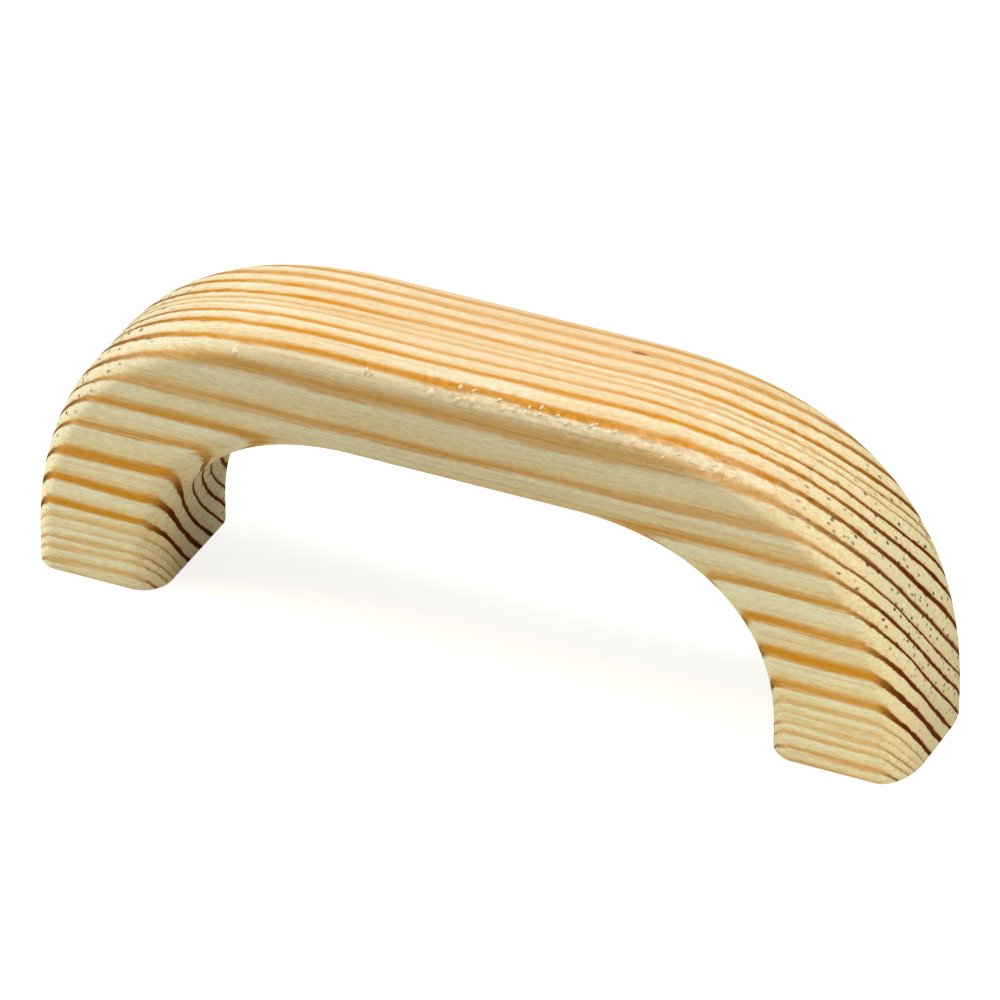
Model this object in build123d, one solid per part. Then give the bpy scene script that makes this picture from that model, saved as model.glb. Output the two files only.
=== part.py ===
from build123d import *
import math
import os

# One-piece wooden bridge handle with two feet, held from behind by two machine
# screws that run into threaded metal inserts in the feet. Millimetres.
# The origin is the middle of the mounting plane, halfway between the feet.
# +X runs along the grip, -Y is the front, +Z points away from what it is fixed to.

# Wooden body: overall sizes
LENGTH = 177.5
DEPTH = 32.5
HEIGHT = 63.3
LEG_WIDTH = 27.5
GRIP_THICKNESS = 24.0

# Wooden body: side view. Each corner runs from a plumb stretch to a flat one.
OUTER_PLUMB = 5.0
OUTER_FLAT = 52.5
OUTER_FULLNESS = 0.64
INNER_PLUMB = 5.0
INNER_FLAT = 44.2
INNER_FULLNESS = 0.618

# Wooden body: edges. The outer long edges are rounded to a quarter ellipse, wider
# across the depth than it is deep, and the long edges of the opening to a quarter circle.
OUTER_EDGE_DROP = 5.6
OUTER_EDGE_REACH = 10.0
INNER_EDGE_RADIUS = 5.8
FOOT_EDGE_BREAK = 0.4

# Threaded insert, M6 inside and a coarse wood thread outside
INSERT_LENGTH = 15.0
INSERT_ROOT_DIAMETER = 8.2
INSERT_RECESS = 0.5
INSERT_END_CHAMFER = 1.0
WOOD_THREAD_HEIGHT = 0.9
WOOD_THREAD_PITCH = 2.5
WOOD_THREAD_BASE = 1.3
WOOD_THREAD_CREST = 0.25
WOOD_THREAD_ROOTING = 0.2
SCREW_BORE_DIAMETER = 5.0
SCREW_LEAD_IN = 0.6
HEX_ACROSS_FLATS = 6.0
HEX_DEPTH = 4.0

# Drilled hole in each foot
SCREW_RUN_OUT = 5.0
DRILL_POINT_ANGLE = 118.0
HOLE_MOUTH_CHAMFER = 0.5

# The holes stand in the middle of the feet
HOLE_SPACING = LENGTH - LEG_WIDTH
HOLE_DEPTH = INSERT_RECESS + INSERT_LENGTH + SCREW_RUN_OUT

# How far a cutting tool stands clear of the body, and what counts as touching
TOOL_CLEARANCE = 1.0
TOUCH = 0.01
UPRIGHT = (Align.CENTER, Align.CENTER, Align.MIN)


def arch_line(half_width, top, plumb, flat, fullness, start=0.0):
    """Side-view line from foot to foot: plumb, a full cubic corner, flat, corner, plumb."""
    shoulder = (half_width, plumb)
    crown = (flat / 2, top)
    rise = fullness * (top - plumb)
    reach = fullness * (half_width - flat / 2)
    corner = Bezier(shoulder, (half_width, plumb + rise), (flat / 2 + reach, top), crown)
    side = Line((half_width, start), shoulder) + corner
    return side + Line(crown, (-flat / 2, top)) + mirror(side, about=Plane.YZ)


def arch(half_width, top, plumb, flat, fullness):
    """Filled arch that stands on the mounting plane."""
    base = Line((-half_width, 0), (half_width, 0))
    return make_face(base + arch_line(half_width, top, plumb, flat, fullness))


def in_foot(piece, side):
    """Moves a piece made round the Z axis to the left (-1) or right (1) foot, half a turn apart."""
    return Pos(side * HOLE_SPACING / 2, 0, 0) * Rot(0, 0, 90 - 90 * side) * piece


def outer_edge_waste(front):
    """What rounding takes off one outer long edge, at the front (-1) or the back (1)."""
    side = LENGTH / 2
    face = DEPTH / 2
    clear = TOOL_CLEARANCE
    ellipse = Ellipse(OUTER_EDGE_DROP, OUTER_EDGE_REACH)
    corner = Rectangle(OUTER_EDGE_DROP, OUTER_EDGE_REACH, align=Align.MIN)
    overhang = Rectangle(OUTER_EDGE_DROP + clear, clear, align=Align.MIN)
    upright = Rectangle(clear, OUTER_EDGE_REACH + clear, align=Align.MIN)
    section = corner - ellipse
    section += Pos(0, OUTER_EDGE_REACH) * overhang + Pos(OUTER_EDGE_DROP, 0) * upright
    section = Pos(side - OUTER_EDGE_DROP, face - OUTER_EDGE_REACH) * section
    if front < 0:
        section = mirror(section, about=Plane.XZ)
    line = arch_line(side, HEIGHT, OUTER_PLUMB, OUTER_FLAT, OUTER_FULLNESS, start=-clear)
    path = Wire((Plane.XZ * line).edges())
    return sweep(Pos(0, 0, -clear) * section, path=path)


def opening_edges(solid):
    """Long edges of the hand opening, on the front and back faces."""
    on_a_face = [e for e in solid.edges() if abs(abs(e.center().Y) - DEPTH / 2) < TOUCH]
    inside = [e for e in on_a_face if abs(e.center().X) < LENGTH / 2 - LEG_WIDTH + TOUCH]
    return [e for e in inside if TOUCH < e.center().Z < HEIGHT - GRIP_THICKNESS + TOUCH]


def foot_edges(solid):
    """Edges round the two feet."""
    return [e for e in solid.edges() if e.bounding_box().max.Z < TOUCH]


def insert_hole():
    """Blind hole for one insert: drill point, chamfered mouth and the grooves its thread cuts."""
    radius = INSERT_ROOT_DIAMETER / 2
    point = radius / math.tan(math.radians(DRILL_POINT_ANGLE / 2))
    hole = Cylinder(radius, HOLE_DEPTH, align=UPRIGHT)
    hole += Pos(0, 0, HOLE_DEPTH) * Cone(radius, 0, point, align=UPRIGHT)
    hole += Cone(radius + HOLE_MOUTH_CHAMFER, radius, HOLE_MOUTH_CHAMFER, align=UPRIGHT)
    hole += Pos(0, 0, INSERT_RECESS) * wood_thread()
    return hole


def handle_body():
    """Bridge-shaped body in one piece of wood."""
    outer = arch(LENGTH / 2, HEIGHT, OUTER_PLUMB, OUTER_FLAT, OUTER_FULLNESS)
    opening = arch(
        LENGTH / 2 - LEG_WIDTH, HEIGHT - GRIP_THICKNESS, INNER_PLUMB, INNER_FLAT, INNER_FULLNESS
    )
    body = extrude(Plane.XZ * (outer - opening), DEPTH / 2, both=True)
    body = fillet(opening_edges(body), INNER_EDGE_RADIUS)
    for front in (-1, 1):
        body -= outer_edge_waste(front)
    body = chamfer(foot_edges(body), FOOT_EDGE_BREAK)
    for side in (-1, 1):
        body -= in_foot(insert_hole(), side)
    return body


def wood_thread():
    """Helical ridge round the insert, cut to its length and tapered at both ends."""
    root = INSERT_ROOT_DIAMETER / 2
    run = INSERT_LENGTH + 2 * WOOD_THREAD_PITCH
    helix = Helix(WOOD_THREAD_PITCH, run, root, center=(0, 0, -WOOD_THREAD_PITCH))
    section = Plane(origin=helix @ 0, x_dir=(1, 0, 0), z_dir=helix % 0) * Polygon(
        (-WOOD_THREAD_ROOTING, -WOOD_THREAD_BASE / 2),
        (WOOD_THREAD_HEIGHT, -WOOD_THREAD_CREST / 2),
        (WOOD_THREAD_HEIGHT, WOOD_THREAD_CREST / 2),
        (-WOOD_THREAD_ROOTING, WOOD_THREAD_BASE / 2),
        align=None,
    )
    ridge = sweep(section, path=helix, is_frenet=True)
    envelope = Cylinder(root + WOOD_THREAD_HEIGHT, INSERT_LENGTH, align=UPRIGHT)
    envelope = chamfer(envelope.edges().filter_by(GeomType.CIRCLE), INSERT_END_CHAMFER)
    return ridge & envelope


def threaded_insert():
    """Screw-in insert, mouth down, with a hexagon socket below its screw thread."""
    insert = Cylinder(INSERT_ROOT_DIAMETER / 2, INSERT_LENGTH, align=UPRIGHT)
    insert += wood_thread()
    insert -= Cylinder(SCREW_BORE_DIAMETER / 2, INSERT_LENGTH, align=UPRIGHT)
    hexagon = RegularPolygon(HEX_ACROSS_FLATS / 2, 6, major_radius=False)
    insert -= extrude(hexagon, HEX_DEPTH)
    bore = SCREW_BORE_DIAMETER / 2
    lead_in = Cone(bore, bore + SCREW_LEAD_IN, SCREW_LEAD_IN, align=UPRIGHT)
    insert -= Pos(0, 0, INSERT_LENGTH - SCREW_LEAD_IN) * lead_in
    return insert


def write_parts():
    os.makedirs("parts", exist_ok=True)
    insert = Pos(0, 0, INSERT_RECESS) * threaded_insert()
    parts = {
        "handle_body": handle_body(),
        "threaded_insert_left": in_foot(insert, -1),
        "threaded_insert_right": in_foot(insert, 1),
    }
    for name, solid in parts.items():
        export_step(solid, f"parts/{name}.step")


write_parts()
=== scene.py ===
"""Looks of a one-piece pine bridge handle with a brass threaded insert in each foot."""

import math
import random

import bpy
import numpy as np
from mathutils import Matrix, Vector, noise


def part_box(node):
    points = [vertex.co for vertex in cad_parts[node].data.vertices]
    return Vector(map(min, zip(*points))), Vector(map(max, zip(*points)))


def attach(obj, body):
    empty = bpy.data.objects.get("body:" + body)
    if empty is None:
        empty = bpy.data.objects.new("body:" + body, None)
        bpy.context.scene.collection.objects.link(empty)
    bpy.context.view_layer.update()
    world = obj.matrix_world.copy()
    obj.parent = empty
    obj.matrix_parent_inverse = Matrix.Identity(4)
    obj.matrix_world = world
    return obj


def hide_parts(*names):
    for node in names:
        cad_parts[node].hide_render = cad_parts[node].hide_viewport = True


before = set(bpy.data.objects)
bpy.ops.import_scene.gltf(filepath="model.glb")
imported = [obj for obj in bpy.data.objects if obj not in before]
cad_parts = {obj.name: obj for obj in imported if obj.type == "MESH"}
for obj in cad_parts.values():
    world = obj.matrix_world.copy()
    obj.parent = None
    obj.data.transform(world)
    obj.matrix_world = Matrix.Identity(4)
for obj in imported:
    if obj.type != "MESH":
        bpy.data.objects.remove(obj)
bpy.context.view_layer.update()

MM = 0.001

# The wooden body, as the frame has it
body_low, body_high = (Vector(corner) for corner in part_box("handle_body"))
HALF_LENGTH = (body_high.x - body_low.x) / 2
HALF_DEPTH = (body_high.y - body_low.y) / 2
HEIGHT = body_high.z
LEG_WIDTH = 27.5 * MM
GRIP_THICKNESS = 24 * MM
OUTER_PLUMB, OUTER_FLAT, OUTER_FULLNESS = 5 * MM, 52.5 * MM, 0.64
INNER_PLUMB, INNER_FLAT, INNER_FULLNESS = 5 * MM, 44.2 * MM, 0.618
# Rounding of the long edges as (drop along the line's normal, reach across the depth)
OUTER_ROUND = (5.6 * MM, 10 * MM)
INNER_ROUND = (5.8 * MM, 5.8 * MM)
FOOT_BREAK = 0.4 * MM

# The hole in each foot
HOLE_RADIUS = 4.1 * MM
HOLE_DEPTH = 20.5 * MM
HOLE_MOUTH = 0.5 * MM
DRILL_POINT = 2.46 * MM
HOLE_X = HALF_LENGTH - LEG_WIDTH / 2
# Turns round the broken edge of a foot in degrees, then shares of the way in to the hole
FOOT_BREAK_TURNS = (30, 60, 90)
SOLE_SHARES = (0.25, 0.5, 0.75, 1.0)

# Splinters along the front edge of the grip, in patches: middle and spread along it in mm,
# how many and how large
FIBRE_PATCHES = ((-44, 1, 1, 1.5), (-15, 3, 2, 1.1), (-5.5, 0.5, 1, 1.8), (1, 3, 4, 1.3),
                 (16, 7, 8, 1.0), (36, 7, 6, 0.8))
FIBRE_SEED = 5
# Least and most for one splinter: share of the way round the edge, turn from the grain in
# radians, then half length, half width and rise in mm
FIBRE_PLACE, FIBRE_TURN = (0.62, 0.88), (0.5, 1.5)
FIBRE_LENGTH, FIBRE_WIDTH, FIBRE_RISE = (0.6, 0.85), (0.35, 0.5), (0.3, 0.45)
FIBRE_TIP, FIBRE_ROOT = 0.7, 0.1 * MM

# Rows of faces along the handle, for one half: plumb stretch, corner, half the flat stretch
ROWS_PLUMB, ROWS_CORNER, ROWS_FLAT = 6, 150, 70
# Columns round the section
COLUMNS_OUTER, COLUMNS_SHOWN_EDGE, COLUMNS_EDGE = 30, 44, 20
COLUMNS_FACE, COLUMNS_INNER = 22, 24

# The log that the wood was cut from, in mm: its growth rings are round an axis along the
# grain, behind and above the handle, slightly tilted and bowed.
PITH_Y, PITH_Z = 102.1, 108.2
PITH_TILT_Y, PITH_TILT_Z = 1.4, -1.2
PITH_BOW_Y, PITH_BOW_Z = 1.7, -3.0
RING_FLATTENING = 0.97
# Late wood of each ring: distance from the axis, half its thickness, how dark it is
RINGS = (
    (80.0, 0.6, 0.8), (84.4, 0.7, 0.7), (88.2, 0.6, 0.8), (91.8, 0.7, 0.8), (95.4, 0.6, 0.7),
    (98.7, 0.7, 0.8), (102.0, 0.7, 0.8), (105.2, 1.0, 0.75), (108.4, 0.75, 0.9),
    (112.0, 0.7, 1.0), (114.1, 0.45, 0.5), (115.6, 0.4, 0.45), (118.4, 0.6, 0.9),
    (121.3, 0.7, 1.0), (125.1, 0.85, 0.9), (129.0, 0.95, 0.65), (132.4, 0.5, 0.65),
    (135.1, 0.7, 0.8), (138.1, 0.5, 0.8), (141.5, 0.7, 0.9), (144.7, 0.9, 1.0),
    (148.2, 0.7, 0.95), (150.1, 0.35, 0.4), (151.4, 0.3, 0.3), (152.7, 0.4, 0.5),
    (154.0, 0.35, 0.45), (155.9, 0.5, 0.6), (157.8, 0.4, 0.45), (160.0, 0.5, 0.6),
    (163.0, 0.5, 0.6), (167.0, 0.5, 0.6),
)
# Unevenness of the rings in mm: how strong, its lengths along each axis, where it starts
RING_WAVES = ((0.4, (50, 14, 14), 0), (0.18, (15, 5, 5), 7))

# Torn grain along the front edge of the grip, in mm: where it starts, is full and ends along
# X, then middle and spread across, the length over which it bends down, and its patches
TORN_ALONG = (-18, 2, 50, 64)
TORN_Y, TORN_Z, TORN_BEND = (-14.2, 2.3), (59.7, 2.6), 30
TORN_PATCHES = (9, 2, 2)
# Blurred rings on the middle of the top, in mm: middle, reach and patches along each axis
FADED_MIDDLE, FADED_REACH = (8, 2, 63), (32, 12, 3)
FADED_PATCHES = (14, 1.2, 1.2)


# ---------------------------------------------------------------- the wooden body


def corner_line(half_width, top, plumb, flat, fullness):
    """Right half of a side-view line: points (x, z) and outward normals, from foot to middle."""
    start = np.array([half_width, plumb])
    end = np.array([flat / 2, top])
    guide_a = start + (0, fullness * (top - plumb))
    guide_b = end + (fullness * (half_width - flat / 2), 0)
    t = np.linspace(0, 1, ROWS_CORNER + 1)[:, None]
    curve = (1 - t) ** 3 * start + 3 * (1 - t) ** 2 * t * guide_a
    curve += 3 * (1 - t) * t**2 * guide_b + t**3 * end
    slope = (1 - t) ** 2 * (guide_a - start) + 2 * (1 - t) * t * (guide_b - guide_a)
    slope += t**2 * (end - guide_b)
    slope /= np.linalg.norm(slope, axis=1)[:, None]
    normal = np.stack([slope[:, 1], -slope[:, 0]], axis=1)
    rise = np.linspace(FOOT_BREAK, plumb, ROWS_PLUMB, endpoint=False)
    foot = np.stack([np.full(ROWS_PLUMB, half_width), rise], axis=1)
    run = np.linspace(flat / 2, 0, ROWS_FLAT + 1)[1:]
    crown = np.stack([run, np.full(ROWS_FLAT, top)], axis=1)
    points = np.concatenate([foot, curve, crown])
    normals = np.concatenate([np.tile([1.0, 0.0], (ROWS_PLUMB, 1)), normal,
                              np.tile([0.0, 1.0], (ROWS_FLAT, 1))])
    return points, normals


def whole_line(*size):
    """Side-view line from the left foot over to the right foot."""
    points, normals = corner_line(*size)
    flip = np.array([-1, 1])
    return (np.concatenate([points * flip, points[-2::-1]]),
            np.concatenate([normals * flip, normals[-2::-1]]))


def section():
    """Columns round the section, each (line, inset, y, normal's share along the line, y share).

    The line is 0 on the outer line and 1 on the inner one; the faces run between the two.
    """
    columns = []
    rounds = (OUTER_ROUND, INNER_ROUND)

    def surface(line, front, count):
        flat = front * (HALF_DEPTH - rounds[line][1])
        for y in np.linspace(flat, -flat, count, endpoint=False):
            columns.append((line, 0.0, y, 1.0, 0.0))

    def edge(line, front, towards_face, count):
        drop, reach = rounds[line]
        for step in range(count):
            turn = math.pi / 2 * step / count
            if not towards_face:
                turn = math.pi / 2 - turn
            inset = drop * (1 - math.cos(turn))
            y = front * (HALF_DEPTH - reach * (1 - math.sin(turn)))
            out, across = math.cos(turn) / drop, math.sin(turn) / reach
            size = math.hypot(out, across)
            columns.append((line, inset, y, out / size, front * across / size))

    def face(line, front, count):
        for share in np.linspace(0, 1, count, endpoint=False):
            place = line + share * (1 - 2 * line)
            inset = rounds[0][0] * (1 - place) + rounds[1][0] * place
            columns.append((place, inset, front * HALF_DEPTH, 0.0, float(front)))

    surface(0, 1, COLUMNS_OUTER)
    edge(0, -1, True, COLUMNS_SHOWN_EDGE)
    face(0, -1, COLUMNS_FACE)
    edge(1, -1, False, COLUMNS_EDGE)
    surface(1, -1, COLUMNS_INNER)
    edge(1, 1, True, COLUMNS_EDGE)
    face(1, 1, COLUMNS_FACE)
    edge(0, 1, False, COLUMNS_EDGE)
    return np.array(columns)


def body_surface():
    """Points and normals of the body's skin, both (rows, columns, 3)."""
    outer, outer_normal = whole_line(HALF_LENGTH, HEIGHT, OUTER_PLUMB, OUTER_FLAT, OUTER_FULLNESS)
    inner, inner_normal = whole_line(HALF_LENGTH - LEG_WIDTH, HEIGHT - GRIP_THICKNESS,
                                     INNER_PLUMB, INNER_FLAT, INNER_FULLNESS)
    inner_normal = -inner_normal
    line, inset, y, share, y_share = section().T
    outer_inset = np.where(line == 0, inset, OUTER_ROUND[0])
    inner_inset = np.where(line == 1, inset, INNER_ROUND[0])
    near_outer = outer[:, None] - outer_normal[:, None] * outer_inset[:, None]
    near_inner = inner[:, None] - inner_normal[:, None] * inner_inset[:, None]
    xz = near_outer * (1 - line)[:, None] + near_inner * line[:, None]
    normal_xz = np.where((line < 0.5)[:, None], outer_normal[:, None], inner_normal[:, None])
    normal_xz = normal_xz * share[:, None]
    rows = len(outer)
    points = np.stack([xz[..., 0], np.tile(y, (rows, 1)), xz[..., 1]], axis=2)
    normals = np.stack([normal_xz[..., 0], np.tile(y_share, (rows, 1)), normal_xz[..., 1]], axis=2)
    return points, normals


def foot_rings(outline, normals, centre_x):
    """Rings of points from the outline of a foot, over its broken edge, in to the drill point."""
    rings = []
    for turn in FOOT_BREAK_TURNS:
        angle = math.radians(turn)
        ring = outline - normals * FOOT_BREAK * (1 - math.cos(angle))
        ring[:, 2] = FOOT_BREAK * (1 - math.sin(angle))
        rings.append(ring)
    centre = np.array([centre_x, 0.0, 0.0])
    spoke = rings[-1] - centre
    angle = np.arctan2(spoke[:, 1], spoke[:, 0])
    circle = np.stack([np.cos(angle), np.sin(angle), np.zeros(len(angle))], axis=1)
    mouth = centre + circle * (HOLE_RADIUS + HOLE_MOUTH)
    sole = rings[-1]
    for share in SOLE_SHARES:
        rings.append(sole * (1 - share) + mouth * share)
    for radius, depth in ((1.0, HOLE_MOUTH), (1.0, HOLE_DEPTH / 2), (1.0, HOLE_DEPTH),
                          (0.5, HOLE_DEPTH + DRILL_POINT / 2)):
        ring = centre + circle * HOLE_RADIUS * radius
        ring[:, 2] = depth
        rings.append(ring)
    tip = centre + (0, 0, HOLE_DEPTH + DRILL_POINT)
    return np.stack(rings), tip


def patches(mm, lengths, start=0):
    """Smooth noise at points in mm, from about -1 to 1, with its lengths along each axis."""
    return np.array([noise.noise(Vector(place)) for place in mm / lengths + (start, 0, 0)])


def log_distance(points):
    """Distance in mm from the log's axis to each point in metres, with the wood's unevenness."""
    mm = points / MM
    along = mm[:, 0] / (HALF_LENGTH / MM)
    y = mm[:, 1] - PITH_Y - PITH_TILT_Y * along - PITH_BOW_Y * along**2
    z = mm[:, 2] - PITH_Z - PITH_TILT_Z * along - PITH_BOW_Z * along**2
    waves = sum(strength * patches(mm, lengths, start)
                for strength, lengths, start in RING_WAVES)
    return np.hypot(y, z * RING_FLATTENING) + waves


def grain(points):
    """Growth rings at each point: ring number, ring spacing in mm, thickness and darkness."""
    distance = log_distance(points)
    place, thickness, darkness = np.array(RINGS).T
    number = np.arange(len(place))
    gaps = np.diff(place)
    middle = (place[1:] + place[:-1]) / 2
    return {
        "ring": np.interp(distance, place, number),
        "ring_gap": np.interp(distance, middle, gaps),
        "ring_thickness": np.interp(distance, place, thickness),
        "ring_darkness": np.interp(distance, place, darkness),
    }


def grid_faces(rows, columns, first=0):
    """Quads of a grid whose columns close on themselves."""
    row, column = np.meshgrid(np.arange(rows - 1), np.arange(columns), indexing="ij")
    here = first + row * columns + column
    beside = first + row * columns + (column + 1) % columns
    return np.stack([here, beside, beside + columns, here + columns], axis=2).reshape(-1, 4)


def torn_grain(points):
    """How much the cutter tore the wood at each point: a narrow band along the front edge."""
    mm = points / MM
    x, y, z = mm.T
    along = np.interp(x, TORN_ALONG, (0.0, 1.0, 1.0, 0.0))
    from_y = (y - TORN_Y[0]) / TORN_Y[1]
    from_z = (z - TORN_Z[0] + (x / TORN_BEND) ** 2) / TORN_Z[1]
    band = np.exp(-from_y**2 - from_z**2)
    return band * along * np.clip(0.75 + patches(mm, TORN_PATCHES), 0, 1)


def faded_grain(points):
    """How far the rings blur into the wood round them: on the middle of the grip's top."""
    mm = points / MM
    area = np.exp(-(((mm - FADED_MIDDLE) / FADED_REACH) ** 4).sum(axis=1))
    return area * np.clip(0.8 + patches(mm, FADED_PATCHES), 0, 1)


def wooden_mesh(name, points, faces):
    """Object of one wooden mesh that carries the growth rings at its points."""
    mesh = bpy.data.meshes.new(name)
    mesh.from_pydata(points.tolist(), [], faces)
    surface = {"rough": torn_grain(points), "faded": faded_grain(points)}
    for key, values in {**grain(points), **surface}.items():
        mesh.attributes.new(key, "FLOAT", "POINT").data.foreach_set(
            "value", values.astype(np.float32))
    mesh.polygons.foreach_set("use_smooth", [True] * len(mesh.polygons))
    mesh.update()
    piece = bpy.data.objects.new(name, mesh)
    bpy.context.scene.collection.objects.link(piece)
    return piece


def wooden_body(skin, normals):
    """The whole body: its skin from foot to foot, closed by the soles and the drilled holes."""
    rows, columns, _ = skin.shape
    vertices = [skin.reshape(-1, 3)]
    quads = [grid_faces(rows, columns)]
    triangles = []
    count = rows * columns
    for row, side_x in ((0, -HOLE_X), (rows - 1, HOLE_X)):
        rings, tip = foot_rings(skin[row], normals[row], side_x)
        edge = np.arange(columns) + row * columns
        inside = grid_faces(len(rings), columns, count)
        first = count + np.arange(columns)
        join = np.stack([edge, np.roll(edge, -1), np.roll(first, -1), first], axis=1)
        last = count + (len(rings) - 1) * columns + np.arange(columns)
        tip_index = count + len(rings) * columns
        fan = np.stack([last, np.roll(last, -1), np.full(columns, tip_index)], axis=1)
        if row == 0:
            inside, join, fan = inside[:, ::-1], join[:, ::-1], fan[:, ::-1]
        quads += [inside, join]
        triangles.append(fan)
        vertices += [rings.reshape(-1, 3), tip[None]]
        count = tip_index + 1
    faces = np.concatenate(quads).tolist() + np.concatenate(triangles).tolist()
    return wooden_mesh("handle_wood", np.concatenate(vertices), faces)


def raised_fibres(skin, normals):
    """Splinters that the cutter lifted along the front edge of the grip."""
    dice = random.Random(FIBRE_SEED)
    first = COLUMNS_OUTER
    points, faces = [], []
    for centre, spread, count, scale in FIBRE_PATCHES:
        for _ in range(count):
            x = dice.gauss(centre, spread) * MM
            row = int(np.argmin(np.abs(skin[:, first, 0] - x) + (skin[:, first, 2] < HEIGHT / 2)))
            column = first + int(dice.uniform(*FIBRE_PLACE) * COLUMNS_SHOWN_EDGE)
            place, up = skin[row, column], normals[row, column]
            along = skin[row + 1, column] - skin[row - 1, column]
            along /= np.linalg.norm(along)
            side = np.cross(up, along)
            turn = dice.uniform(*FIBRE_TURN)
            along, side = (along * math.cos(turn) + side * math.sin(turn),
                           side * math.cos(turn) - along * math.sin(turn))
            length = dice.uniform(*FIBRE_LENGTH) * scale * MM
            width = dice.uniform(*FIBRE_WIDTH) * scale * MM
            rise = dice.uniform(*FIBRE_RISE) * scale * MM
            index = len(points)
            points += [place - along * length, place + along * length + up * rise * FIBRE_TIP,
                       place - side * width, place + side * width,
                       place + up * rise, place - up * FIBRE_ROOT]
            for a, b in ((0, 2), (2, 1), (1, 3), (3, 0)):
                faces += [(index + a, index + b, index + 4), (index + b, index + a, index + 5)]
    # None stands out of the body's box
    points = np.array(points)
    points[:, 1] = np.maximum(points[:, 1], -HALF_DEPTH)
    points[:, 2] = np.minimum(points[:, 2], HEIGHT)
    return wooden_mesh("raised_fibres", points, faces)


# ---------------------------------------------------------------- materials


class Tree:
    """Short calls for building a material's nodes."""

    def __init__(self, name):
        self.material = bpy.data.materials.new(name)
        self.material.use_nodes = True
        self.tree = self.material.node_tree
        self.shader = self.tree.nodes["Principled BSDF"]

    def node(self, kind, inputs=None, **settings):
        node = self.tree.nodes.new("ShaderNode" + kind)
        for key, value in settings.items():
            setattr(node, key, value)
        for key, value in (inputs or {}).items():
            self.feed(node.inputs[key], value)
        return node

    def feed(self, socket, value):
        if isinstance(value, bpy.types.NodeSocket):
            self.tree.links.new(value, socket)
        else:
            socket.default_value = value

    def math(self, operation, a, b=0.0, c=0.0):
        return self.node("Math", {0: a, 1: b, 2: c}, operation=operation).outputs[0]

    def attribute(self, name):
        return self.node("Attribute", attribute_name=name).outputs["Fac"]

    def smooth(self, value, low, high, out_low=0.0, out_high=1.0):
        node = self.node("MapRange", {"Value": value, "From Min": low, "From Max": high,
                                      "To Min": out_low, "To Max": out_high},
                         interpolation_type="SMOOTHSTEP")
        return node.outputs["Result"]

    def mix(self, share, a, b, blend="MIX"):
        node = self.node("Mix", data_type="RGBA", blend_type=blend)
        self.feed(node.inputs[0], share)
        self.feed(node.inputs[6], a)
        self.feed(node.inputs[7], b)
        return node.outputs[2]

    def mapped(self, scale, shift=(0.0, 0.0, 0.0)):
        place = self.node("TexCoord").outputs["Object"]
        return self.node("Mapping", {"Vector": place, "Scale": scale,
                                     "Location": shift}).outputs["Vector"]

    def noise(self, scale, detail=2.0, roughness=0.5):
        return self.node("TexNoise", {"Vector": self.mapped(scale), "Scale": 1.0,
                                      "Detail": detail, "Roughness": roughness}).outputs["Fac"]

    def grained(self, along, across, detail, roughness):
        """Noise that is drawn out along the grain, which is the X axis."""
        return self.noise((along, across, across), detail, roughness)


def srgb(red, green, blue):
    """Linear colour of an 8-bit screen colour."""
    def linear(value):
        value /= 255
        return value / 12.92 if value <= 0.04045 else ((value + 0.055) / 1.055) ** 2.4
    return (linear(red), linear(green), linear(blue), 1.0)


# Colours of the wood; the end grain takes the ones named END
EARLY_WOOD = srgb(236, 229, 198)
EARLY_WOOD_WARM = srgb(231, 216, 172)
EARLY_WOOD_END = srgb(236, 226, 186)
TRANSITION_WOOD = srgb(226, 184, 106)
FADED_WOOD = srgb(227, 196, 152)
LATE_WOOD = srgb(208, 144, 36)
LATE_WOOD_END = srgb(98, 36, 1)
RESIN = srgb(66, 34, 4)
PITCH_WOOD = srgb(158, 84, 34)
# The streak of pitch: where it is, and one over half its size along each axis
PITCH_AT = (25.9 * MM, 6.4 * MM, 63.2 * MM)
PITCH_SCALE = (1 / (2.6 * MM), 1 / (0.75 * MM), 1 / (2.0 * MM))
# Noises of the wood: steps in a metre along and across the grain, detail, roughness
STRAY = (45.0, 1000.0, 3.0, 0.7)
WOBBLE = (50.0, 300.0, 3.0, 0.6)
BLOTCH = (30.0, 120.0, 2.0, 0.5)
STREAKS = (12.0, 1000.0, 3.0, 0.65)
SPECKLE = (700.0, 2600.0, 2.0, 0.5)
NAP = (800.0, 1100.0, 3.0, 0.6)
FIBRE = (150.0, 2600.0, 3.0, 0.6)
CANAL_SCALE = (16.0, 700.0, 700.0)
# Shades from dark to light that the fine noise gives to planed and to torn wood; on the torn wood
# the bluish light end is a painted glint and the dark end painted shade, over the fibres' own
# uneven tone
PLANED = ((0.91, 0.9, 0.86, 1.0), (1.04, 1.04, 1.06, 1.0))
TORN_TONE_GLINT_AND_SHADE = ((0.8, 0.77, 0.7, 1.0), (1.2, 1.22, 1.3, 1.0))


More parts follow.
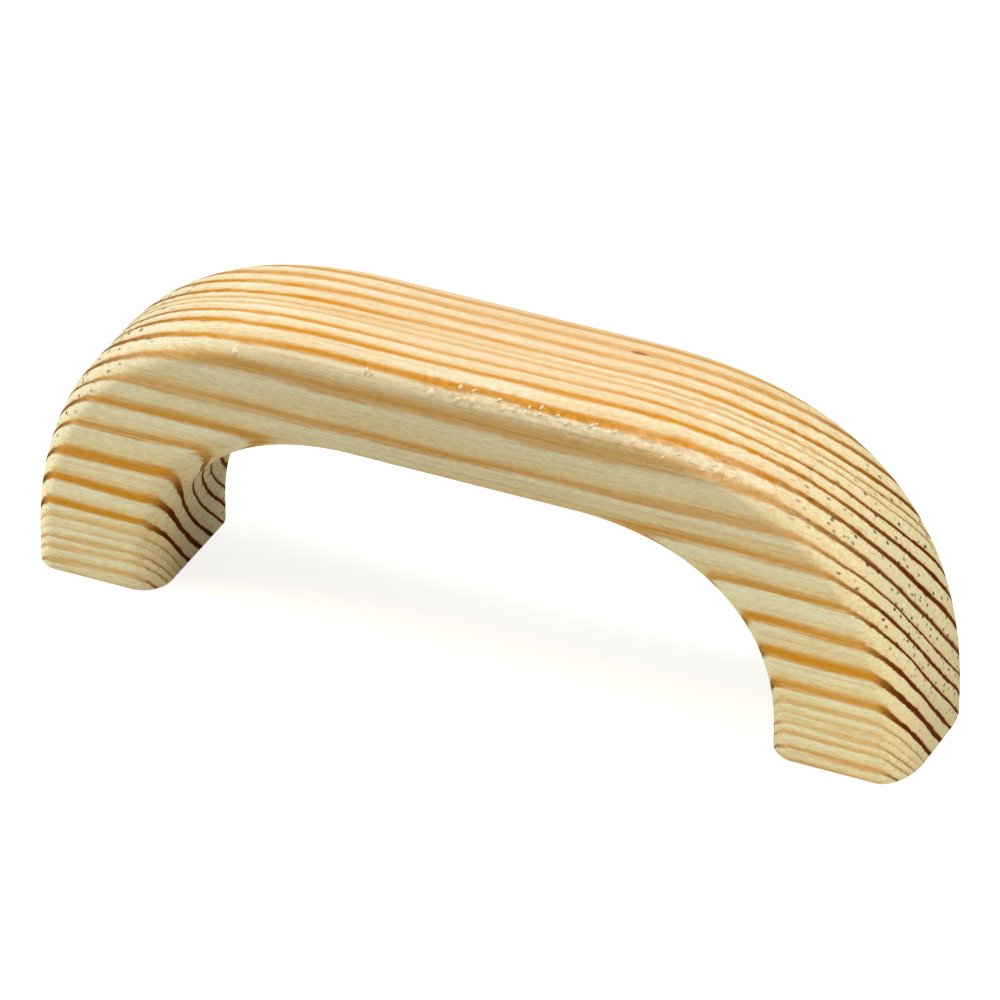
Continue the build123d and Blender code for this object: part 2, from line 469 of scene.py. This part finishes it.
def pine_material():
    t = Tree("pine")
    split = t.node("SeparateXYZ", {"Vector": t.node("TexCoord").outputs["Normal"]}).outputs
    end_grain = t.smooth(t.math("ABSOLUTE", split["X"]), 0.15, 0.95)

    rough, faded = t.attribute("rough"), t.attribute("faded")

    # Signed distance from the middle of the nearest late wood, in halves of its thickness
    ring = t.attribute("ring")
    off_middle = t.math("SUBTRACT", ring, t.math("ROUND", ring))
    off_middle = t.math("MULTIPLY", off_middle, t.attribute("ring_gap"))
    # Fibres stray a little from their ring, which shows where the surface runs along the ring
    stray = t.grained(*STRAY)
    reach = t.math("MULTIPLY_ADD", end_grain, -0.8, 1.1)
    reach = t.math("MULTIPLY_ADD", rough, 1.6, reach)
    off_middle = t.math("MULTIPLY_ADD", t.math("SUBTRACT", stray, 0.5), reach, off_middle)
    wobble = t.grained(*WOBBLE)
    width = t.math("MULTIPLY_ADD", wobble, 0.9, t.math("MULTIPLY_ADD", end_grain, -0.17, 0.33))
    width = t.math("MULTIPLY_ADD", rough, 0.7, width)
    place = t.math("DIVIDE", off_middle, t.math("MULTIPLY", t.attribute("ring_thickness"), width))
    darkness = t.attribute("ring_darkness")
    bark_side = t.math("MULTIPLY", t.smooth(place, 0.3, 1.4, 1.0, 0.0), darkness)
    late = t.math("MULTIPLY", bark_side, t.smooth(place, -1.9, -0.2))
    transition = t.math("MULTIPLY", bark_side, t.smooth(off_middle, -2.0, -0.3))
    transition = t.math("MULTIPLY", transition, t.math("SUBTRACT", 1.0, rough))

    # The palest wood is just outside the late wood, and it warms towards the next late wood
    blotch = t.grained(*BLOTCH)
    warmth = t.math("MULTIPLY_ADD", blotch, 1.2, t.math("SUBTRACT", t.math("FRACT", ring), 0.6))
    warmth = t.math("SUBTRACT", warmth, rough)
    colour = t.mix(t.smooth(warmth, 0.1, 0.9), EARLY_WOOD, EARLY_WOOD_WARM)
    colour = t.mix(end_grain, colour, EARLY_WOOD_END)
    colour = t.mix(t.math("MULTIPLY", transition, 0.3), colour, TRANSITION_WOOD)
    streaks = t.grained(*STREAKS)
    colour = t.mix(t.smooth(streaks, 0.46, 0.74, 0.0, 0.35), colour, LATE_WOOD)
    strands = t.math("MULTIPLY", late, t.smooth(streaks, 0.25, 0.6, 0.65, 1.1))
    colour = t.mix(strands, colour, LATE_WOOD)
    heart = t.math("MULTIPLY", t.smooth(late, 0.28, 0.7), end_grain)
    colour = t.mix(heart, colour, LATE_WOOD_END)

    colour = t.mix(t.math("MULTIPLY", faded, 0.5), colour, FADED_WOOD)

    # Resin canals run with the grain: dots on the end grain, faint dashes elsewhere
    canals = t.node("TexVoronoi", {"Vector": t.mapped(CANAL_SCALE), "Scale": 1.0})
    chosen = t.node("SeparateColor", {"Color": canals.outputs["Color"]}).outputs["Red"]
    canal = t.math("MULTIPLY", t.smooth(canals.outputs["Distance"], 0.14, 0.32, 1.0, 0.0),
                   t.smooth(chosen, 0.1, 0.3))
    canal = t.math("MULTIPLY", canal, t.smooth(ring, 17.0, 20.0, 1.0, 0.0))
    canal = t.math("MULTIPLY", canal, t.smooth(end_grain, 0.1, 0.7, 0.06, 0.9))
    colour = t.mix(canal, colour, RESIN)

    # One small streak of pitch on the top
    near_pitch = t.mapped(PITCH_SCALE, tuple(-at * by for at, by in zip(PITCH_AT, PITCH_SCALE)))
    from_pitch = t.node("VectorMath", {0: near_pitch}, operation="LENGTH").outputs["Value"]
    colour = t.mix(t.smooth(from_pitch, 0.3, 1.0, 0.75, 0.0), colour, PITCH_WOOD)
    # Fine light and dark, coarser where the wood is torn: a random tone on planed wood, and on
    # torn wood its uneven tone with painted glints and painted specks of shade
    speckle = t.smooth(t.grained(*SPECKLE), 0.3, 0.7)
    planed = t.mix(speckle, *PLANED)
    nap = t.smooth(t.grained(*NAP), 0.38, 0.62)
    # Where the wood is torn this mixes in painted glints and painted specks of shade
    shade = t.mix(rough, planed, t.mix(nap, *TORN_TONE_GLINT_AND_SHADE))
    colour = t.mix(1.0, colour, shade, "MULTIPLY")
    t.feed(t.shader.inputs["Base Color"], colour)
    t.feed(t.shader.inputs["Roughness"], 0.7)
    t.feed(t.shader.inputs["Specular IOR Level"], 0.06)

    # Relief: fibres, proud late wood, open canals and the torn nap
    fibre = t.grained(*FIBRE)
    height = t.math("MULTIPLY_ADD", fibre, 0.5, t.math("MULTIPLY", late, 0.5))
    height = t.math("MULTIPLY_ADD", canal, -0.5, height)
    height = t.math("MULTIPLY_ADD", t.math("MULTIPLY", nap, rough), 2.5, height)
    bump = t.node("Bump", {"Height": height, "Strength": 0.4, "Distance": 0.1 * MM})
    t.feed(t.shader.inputs["Normal"], bump.outputs["Normal"])
    return t.material


def splinter_material():
    t = Tree("splinters")
    t.feed(t.shader.inputs["Base Color"], srgb(240, 224, 186))
    t.feed(t.shader.inputs["Roughness"], 0.6)
    return t.material


def brass_material():
    t = Tree("insert_brass")
    t.feed(t.shader.inputs["Metallic"], 1.0)
    turned = t.noise((900.0, 900.0, 4000.0), 2.0)
    t.feed(t.shader.inputs["Base Color"],
           t.mix(turned, srgb(196, 158, 88), srgb(222, 186, 112)))
    t.feed(t.shader.inputs["Roughness"], t.math("MULTIPLY_ADD", turned, 0.2, 0.22))
    return t.material


# ---------------------------------------------------------------- studio

VIEW_AZIMUTH = math.radians(25.2)
VIEW_ELEVATION = math.radians(32.65)
VIEW_DISTANCE = 1.793
VIEW_LENS = 353.1
AIM_HEIGHT = 24.65 * MM
AIM_RIGHT, AIM_UP = 0.97 * MM, 3.28 * MM
VIEW_SENSOR = 36.0
VIEW_CLIP = (0.05, 20.0)

# Lamps: name, azimuth and elevation in degrees, distance, width, power and colour
LAMPS = (
    ("right", 90, 60, 1.2, 0.6, 10.3, (1.0, 0.92, 0.76)),
    ("left", -60, 60, 1.2, 0.6, 7.1, (1.0, 0.75, 0.66)),
    ("low_left", -60, 12, 1.2, 0.6, 1.3, (0.3, 1.0, 0.85)),
    ("side", -90, 12, 1.2, 0.6, 9.0, (0.63, 0.8, 1.0)),
    ("near_right", 50, 2, 0.13, 0.05, 0.034, (0.96, 1.0, 0.85)),
    ("near_left", -50, 2, 0.13, 0.05, 0.023, (0.96, 1.0, 0.85)),
    ("back", 120, 60, 1.2, 0.6, 2.6, (0.43, 0.69, 1.0)),
)

# The floor lies just under the feet. Floor and backdrop shine a little on the handle, and are
# brighter by SEEN to the camera, so that the ground is as white as a studio's.
FLOOR_REACH, FLOOR_HEIGHT = 4.0, -0.1 * MM
FLOOR_COLOUR = (0.5, 0.48, 0.42, 1.0)
FLOOR_GLOW, FLOOR_SEEN = 0.08, 0.72
BACKDROP_GLOW, BACKDROP_SEEN = 0.05, 0.9


def direction(azimuth, elevation):
    """Unit vector to a place at an azimuth, counted from the front to the right, and elevation."""
    return Vector((math.sin(azimuth) * math.cos(elevation),
                   -math.cos(azimuth) * math.cos(elevation),
                   math.sin(elevation)))


def aimed(obj, place, back):
    """Puts obj at a place with its local Z along back, level with the ground."""
    right = Vector((0, 0, 1)).cross(back).normalized()
    up = back.cross(right)
    turn = Matrix((right, up, back)).transposed()
    obj.matrix_world = Matrix.Translation(place) @ turn.to_4x4()
    bpy.context.scene.collection.objects.link(obj)
    return obj


def camera():
    back = direction(VIEW_AZIMUTH, VIEW_ELEVATION)
    right = Vector((0, 0, 1)).cross(back).normalized()
    aim = Vector((0, 0, AIM_HEIGHT)) + right * AIM_RIGHT + back.cross(right) * AIM_UP
    data = bpy.data.cameras.new("camera")
    data.lens = VIEW_LENS
    data.sensor_width = VIEW_SENSOR
    data.clip_start, data.clip_end = VIEW_CLIP
    bpy.context.scene.camera = aimed(bpy.data.objects.new("camera", data),
                                     aim + back * VIEW_DISTANCE, back)


def lamp(name, azimuth, elevation, distance, size, power, colour):
    """Round soft lamp aimed at the origin."""
    data = bpy.data.lights.new(name, "AREA")
    data.shape = "DISK"
    data.size = size
    data.energy = power
    data.color = colour
    back = direction(math.radians(azimuth), math.radians(elevation))
    placed = aimed(bpy.data.objects.new(name, data), back * distance, back)
    placed.visible_camera = False


def floor():
    mesh = bpy.data.meshes.new("floor")
    corners = ((-1, -1), (1, -1), (1, 1), (-1, 1))
    mesh.from_pydata([(x * FLOOR_REACH, y * FLOOR_REACH, FLOOR_HEIGHT) for x, y in corners],
                     [], [(0, 1, 2, 3)])
    t = Tree("floor")
    t.feed(t.shader.inputs["Base Color"], FLOOR_COLOUR)
    t.feed(t.shader.inputs["Roughness"], 0.9)
    t.feed(t.shader.inputs["Emission Color"], (1.0, 1.0, 1.0, 1.0))
    seen = t.node("LightPath").outputs["Is Camera Ray"]
    glow = t.math("MULTIPLY_ADD", seen, FLOOR_SEEN, FLOOR_GLOW)
    t.feed(t.shader.inputs["Emission Strength"], glow)
    mesh.materials.append(t.material)
    piece = bpy.data.objects.new("floor", mesh)
    bpy.context.scene.collection.objects.link(piece)


def studio():
    camera()
    floor()
    for row in LAMPS:
        lamp(*row)
    world = bpy.data.worlds.new("studio")
    world.use_nodes = True
    nodes, links = world.node_tree.nodes, world.node_tree.links
    backdrop = nodes["Background"]
    backdrop.inputs["Color"].default_value = (1, 1, 1, 1)
    strength = nodes.new("ShaderNodeMath")
    strength.operation = "MULTIPLY_ADD"
    strength.inputs[1].default_value = BACKDROP_SEEN
    strength.inputs[2].default_value = BACKDROP_GLOW
    links.new(nodes.new("ShaderNodeLightPath").outputs["Is Camera Ray"], strength.inputs[0])
    links.new(strength.outputs[0], backdrop.inputs["Strength"])
    bpy.context.scene.world = world
    bpy.context.scene.view_settings.view_transform = "Standard"


studio()

skin, skin_normals = body_surface()
for piece, material in ((wooden_body(skin, skin_normals), pine_material()),
                        (raised_fibres(skin, skin_normals), splinter_material())):
    piece.data.materials.append(material)
    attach(piece, "root")
    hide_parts("handle_body")

brass = brass_material()
for name in ("threaded_insert_left", "threaded_insert_right"):
    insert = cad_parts[name]
    for material_slot in insert.material_slots:
        material_slot.material = brass
